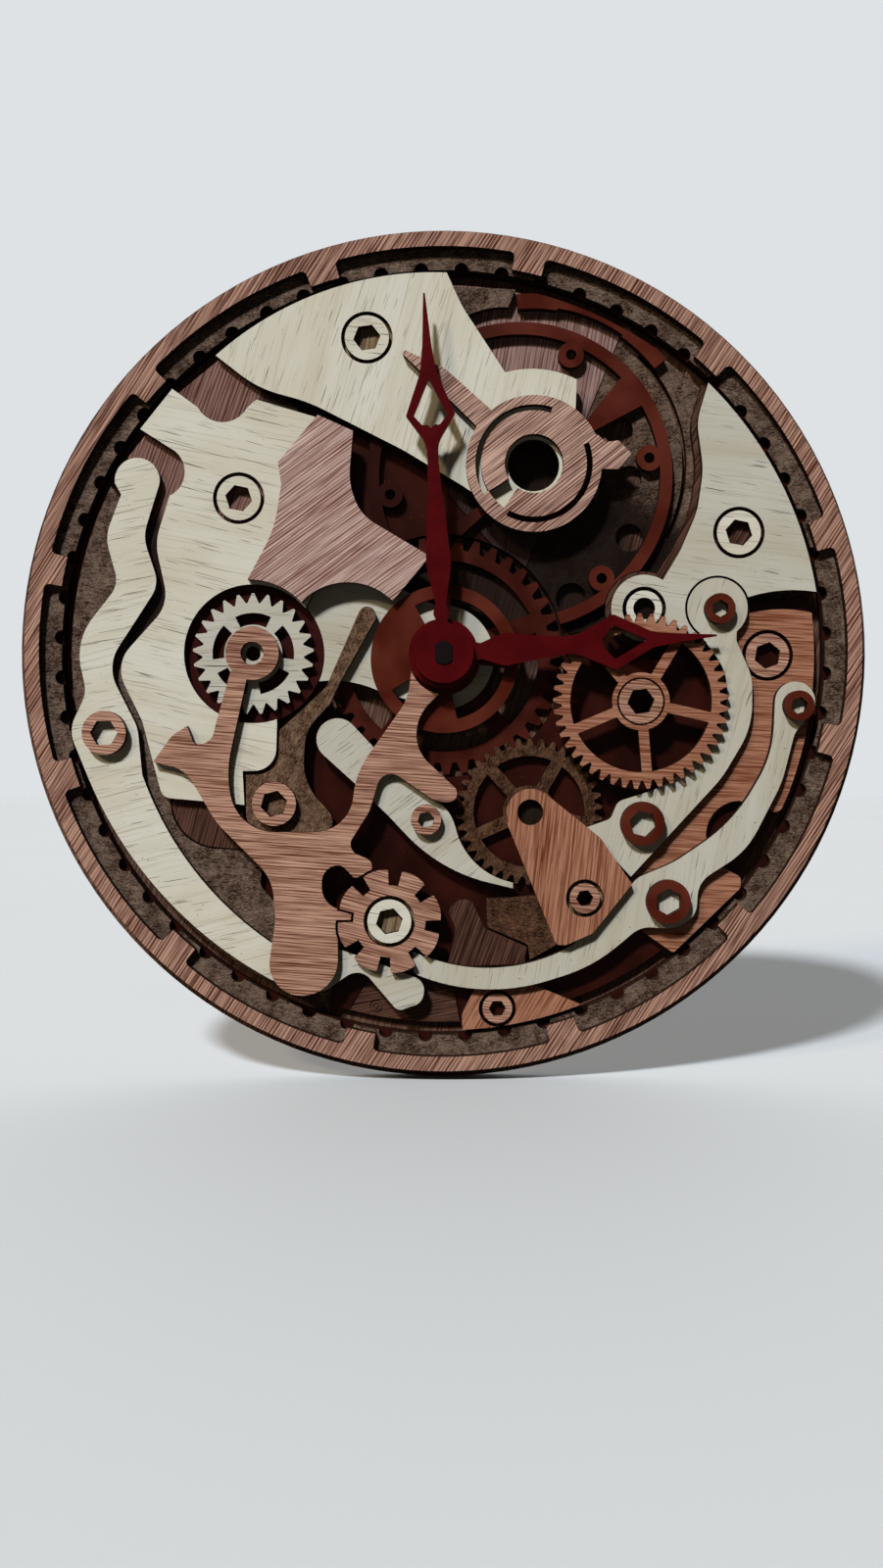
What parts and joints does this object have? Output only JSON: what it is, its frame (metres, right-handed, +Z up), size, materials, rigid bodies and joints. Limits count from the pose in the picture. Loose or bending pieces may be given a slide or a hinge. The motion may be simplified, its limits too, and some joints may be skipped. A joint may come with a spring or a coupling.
{
  "type": "wall clock",
  "caption": "Round wall clock of layered sheet wood whose face imitates an opened watch movement, with spade hands turned by a battery movement hung from a nail.",
  "frame": {"origin": "centre of the bounding box, on the hands' axis; the hands turn about Y", "axes": "+X to three o'clock, +Y from the face back to the wall, +Z up to twelve o'clock"},
  "size_m": [0.308, 0.0398, 0.308],
  "materials": {
    "pale_ply": "pale plywood, fine grain",
    "red_ply": "reddish plywood, striped grain",
    "fibreboard": "raw fibreboard, mottled",
    "brick_paint": "brick-red satin paint on sheet wood",
    "hand_paint": "crimson gloss paint on sheet wood",
    "black_plastic": "moulded, fine grained",
    "white_plastic": "moulded",
    "brass": "turned",
    "sheet_steel": "zinc plated sheet",
    "cell_sleeve": "printed sleeve without marks",
    "winding": "enamelled copper wire",
    "magnet": "ground magnet on a plastic pinion"
  },
  "bodies": {
    "clock_body": {"centre_crescent": "pale_ply", "balance_bridge": "pale_ply", "left_plate": "pale_ply", "left_lever": "pale_ply", "escape_gear": "pale_ply", "s_lever": "pale_ply", "tail_spring": "pale_ply", "right_plate": "pale_ply", "right_lever": "pale_ply", "long_spring": "pale_ply", "pale_caps": "pale_ply", "spacer_blocks": "pale_ply", "bezel_ring": "red_ply", "balance_inlay": "red_ply", "bottom_inlay": "red_ply", "left_under_plate": "red_ply", "lower_left_inlay": "red_ply", "right_backing": "red_ply", "right_lower_plate": "red_ply", "bottom_wedge": "red_ply", "lower_wood": "red_ply", "left_overlay": "red_ply", "fork_lever": "red_ply", "star_pinion": "red_ply", "regulator": "red_ply", "spoked_gear": "red_ply", "strap": "red_ply", "wood_caps": "red_ply", "back_plate": "fibreboard", "minute_ring": "fibreboard", "balance_floor": "fibreboard", "left_floor": "fibreboard", "rim_block": "fibreboard", "brown_gear": "fibreboard", "lower_bar": "fibreboard", "brown_lever": "fibreboard", "spacer_ring": "brick_paint", "red_floor": "brick_paint", "centre_wheel": "brick_paint", "balance_wheel": "brick_paint", "rim_arc": "brick_paint", "centre_disc": "brick_paint", "red_caps": "brick_paint", "movement_case": "black_plastic", "rear_cover": "black_plastic", "neck_nut": "brass", "hanger_plate": "sheet_steel", "battery_contacts": "sheet_steel", "stator": "sheet_steel", "battery": "cell_sleeve", "drive_coil": "winding"},
    "minute_works": {"minute_arbor": "brass", "minute_hub": "black_plastic", "minute_hand": "hand_paint"},
    "hour_works": {"hour_wheel": "white_plastic", "hour_hand": "hand_paint"},
    "setting_works": {"setting_wheel": "white_plastic", "setting_knob": "white_plastic"},
    "third_works": {"third_wheel": "white_plastic"},
    "rotor_works": {"rotor": "magnet"}
  },
  "joints": [
    {"name": "minute_spin", "type": "hinge", "parent": "clock_body", "child": "minute_works", "pos_m": [0, 0, 0], "axis": [0, 1, 0], "continuous": true},
    {"name": "hour_spin", "type": "hinge", "parent": "clock_body", "child": "hour_works", "pos_m": [0, 0, 0], "axis": [0, 1, 0], "continuous": true},
    {"name": "setting_spin", "type": "hinge", "parent": "clock_body", "child": "setting_works", "pos_m": [-0.01039, 0, 0.006], "axis": [0, 1, 0], "continuous": true},
    {"name": "third_spin", "type": "hinge", "parent": "clock_body", "child": "third_works", "pos_m": [0.00858, 0, 0.0072], "axis": [0, 1, 0], "continuous": true},
    {"name": "rotor_spin", "type": "hinge", "parent": "clock_body", "child": "rotor_works", "pos_m": [0.00858, 0, 0.0168], "axis": [0, 1, 0], "continuous": true}
  ],
  "couplings": [
    {"joint": "hour_spin", "follows": "minute_spin", "ratio": 0.083333},
    {"joint": "setting_spin", "follows": "minute_spin", "ratio": -0.33333},
    {"joint": "third_spin", "follows": "minute_spin", "ratio": -6},
    {"joint": "rotor_spin", "follows": "minute_spin", "ratio": 30}
  ]
}
